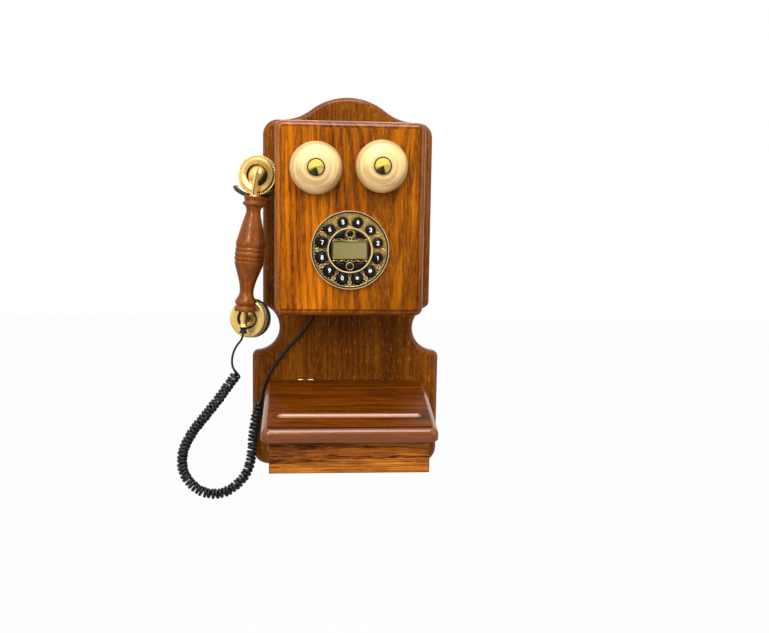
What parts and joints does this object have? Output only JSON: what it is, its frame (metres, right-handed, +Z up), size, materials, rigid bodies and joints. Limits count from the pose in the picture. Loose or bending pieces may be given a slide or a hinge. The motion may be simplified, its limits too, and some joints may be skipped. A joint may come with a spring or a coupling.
{
  "type": "wall telephone",
  "caption": "Wooden wall telephone with push-button dial and display, two brass bells, side handset on a cradle with curly cord, and a sloping lidded shelf.",
  "frame": {"origin": "midway between the entry circles of the two keyhole hangers, on the back plane of the board that lies on the wall", "axes": "+X to the right as seen from the front, +Y into the wall, +Z up"},
  "size_m": [0.3101, 0.1499, 0.474],
  "materials": {
    "board_wood": "satin lacquer",
    "panel_wood": "satin lacquer",
    "handle_wood": "gloss lacquer",
    "shelf_wood": "satin lacquer",
    "lid_wood": "gloss lacquer",
    "bell_brass": "brushed, lacquered",
    "polished_brass": "polished",
    "antique_brass": "antiqued relief",
    "hinge_brass": "plated",
    "bronze": "dark antique",
    "steel": "zinc plated",
    "copper_coil": "enamelled wire",
    "aluminium": "satin",
    "black_plastic": "satin",
    "key_black": "glossy dome",
    "display": "olive display in a dark frame",
    "window": "clear",
    "circuit_board": "solder mask",
    "black_rubber": "matt",
    "black_cord": "satin"
  },
  "bodies": {
    "case": {"backboard": "board_wood", "hanger_plates": "steel", "wood_screws": "steel", "box_top": "panel_wood", "box_bottom": "panel_wood", "box_sides": "panel_wood", "front_panel": "panel_wood", "bells": "bell_brass", "bell_posts": "steel", "bell_washers": "black_plastic", "cone_nuts": "polished_brass", "ringer_frame": "steel", "ringer_coils": "copper_coil", "dial_plate": "antique_brass", "lcd_module": "display", "lcd_window": "window", "key_circuit_board": "circuit_board", "main_circuit_board": "circuit_board", "line_jack": "black_plastic", "cord_gland": "black_rubber", "lever_bracket": "steel", "hook_switch": "black_plastic", "cord_lower": "black_cord", "cord_coil": "black_cord", "cord_upper": "black_cord", "shelf_front": "shelf_wood", "shelf_sides": "shelf_wood", "shelf_floor": "shelf_wood", "hinge_board_leaves": "hinge_brass"},
    "lid": {"lid": "lid_wood", "hinge_lid_leaves": "hinge_brass"},
    "armature": {"ringer_armature": "steel"},
    "cradle": {"cradle_lever": "bronze"},
    "handset": {"handset_handle": "handle_wood", "upper_neck": "polished_brass", "ear_cup": "polished_brass", "ear_cap": "polished_brass", "receiver_capsule": "aluminium", "mouth_cup": "polished_brass", "mouth_cap": "black_plastic", "microphone_capsule": "aluminium", "strain_relief": "black_rubber"},
    "key_5": {"key_5": "key_black"},
    "key_6": {"key_6": "key_black"},
    "key_7": {"key_7": "key_black"},
    "key_8": {"key_8": "key_black"},
    "key_9": {"key_9": "key_black"},
    "key_0": {"key_0": "key_black"},
    "key_star": {"key_star": "key_black"},
    "key_hash": {"key_hash": "key_black"},
    "key_1": {"key_1": "key_black"},
    "key_2": {"key_2": "key_black"},
    "key_3": {"key_3": "key_black"},
    "key_4": {"key_4": "key_black"},
    "key_menu": {"key_menu": "key_black"},
    "key_enter": {"key_enter": "key_black"},
    "key_up_right": {"key_up_right": "key_black"},
    "key_up_left": {"key_up_left": "key_black"},
    "key_down_left": {"key_down_left": "key_black"},
    "key_down_right": {"key_down_right": "key_black"}
  },
  "joints": [
    {"name": "handset_lift", "type": "slide", "parent": "case", "child": "handset", "axis": [-0.48, -0.3, 0.8244], "range_m": [0, 0.12]},
    {"name": "cradle_tilt", "type": "hinge", "parent": "case", "child": "cradle", "pos_m": [-0.038, -0.053, -0.034], "axis": [0, 1, 0], "range_deg": [0, 6.9]},
    {"name": "lid_hinge", "type": "hinge", "parent": "case", "child": "lid", "pos_m": [0, -0.0182, -0.2633], "axis": [-1, 0, 0], "range_deg": [0, 58]},
    {"name": "ringer_rock", "type": "hinge", "parent": "case", "child": "armature", "pos_m": [-0.0022, -0.0525, -0.012], "axis": [0, 0, 1], "range_deg": [-2, 2], "stiffness_Nm_per_rad": 0.05},
    {"name": "key_5_press", "type": "slide", "parent": "case", "child": "key_5", "axis": [0, 1, 0], "range_m": [0, 0.0012], "stiffness_N_per_m": 300},
    {"name": "key_6_press", "type": "slide", "parent": "case", "child": "key_6", "axis": [0, 1, 0], "range_m": [0, 0.0012], "stiffness_N_per_m": 300},
    {"name": "key_7_press", "type": "slide", "parent": "case", "child": "key_7", "axis": [0, 1, 0], "range_m": [0, 0.0012], "stiffness_N_per_m": 300},
    {"name": "key_8_press", "type": "slide", "parent": "case", "child": "key_8", "axis": [0, 1, 0], "range_m": [0, 0.0012], "stiffness_N_per_m": 300},
    {"name": "key_9_press", "type": "slide", "parent": "case", "child": "key_9", "axis": [0, 1, 0], "range_m": [0, 0.0012], "stiffness_N_per_m": 300},
    {"name": "key_0_press", "type": "slide", "parent": "case", "child": "key_0", "axis": [0, 1, 0], "range_m": [0, 0.0012], "stiffness_N_per_m": 300},
    {"name": "key_star_press", "type": "slide", "parent": "case", "child": "key_star", "axis": [0, 1, 0], "range_m": [0, 0.0012], "stiffness_N_per_m": 300},
    {"name": "key_hash_press", "type": "slide", "parent": "case", "child": "key_hash", "axis": [0, 1, 0], "range_m": [0, 0.0012], "stiffness_N_per_m": 300},
    {"name": "key_1_press", "type": "slide", "parent": "case", "child": "key_1", "axis": [0, 1, 0], "range_m": [0, 0.0012], "stiffness_N_per_m": 300},
    {"name": "key_2_press", "type": "slide", "parent": "case", "child": "key_2", "axis": [0, 1, 0], "range_m": [0, 0.0012], "stiffness_N_per_m": 300},
    {"name": "key_3_press", "type": "slide", "parent": "case", "child": "key_3", "axis": [0, 1, 0], "range_m": [0, 0.0012], "stiffness_N_per_m": 300},
    {"name": "key_4_press", "type": "slide", "parent": "case", "child": "key_4", "axis": [0, 1, 0], "range_m": [0, 0.0012], "stiffness_N_per_m": 300},
    {"name": "key_menu_press", "type": "slide", "parent": "case", "child": "key_menu", "axis": [0, 1, 0], "range_m": [0, 0.0012], "stiffness_N_per_m": 300},
    {"name": "key_enter_press", "type": "slide", "parent": "case", "child": "key_enter", "axis": [0, 1, 0], "range_m": [0, 0.0012], "stiffness_N_per_m": 300},
    {"name": "key_up_right_press", "type": "slide", "parent": "case", "child": "key_up_right", "axis": [0, 1, 0], "range_m": [0, 0.0012], "stiffness_N_per_m": 300},
    {"name": "key_up_left_press", "type": "slide", "parent": "case", "child": "key_up_left", "axis": [0, 1, 0], "range_m": [0, 0.0012], "stiffness_N_per_m": 300},
    {"name": "key_down_left_press", "type": "slide", "parent": "case", "child": "key_down_left", "axis": [0, 1, 0], "range_m": [0, 0.0012], "stiffness_N_per_m": 300},
    {"name": "key_down_right_press", "type": "slide", "parent": "case", "child": "key_down_right", "axis": [0, 1, 0], "range_m": [0, 0.0012], "stiffness_N_per_m": 300}
  ],
  "couplings": [
    {"joint": "cradle_tilt", "follows": "handset_lift", "rad_per_m": 1}
  ]
}
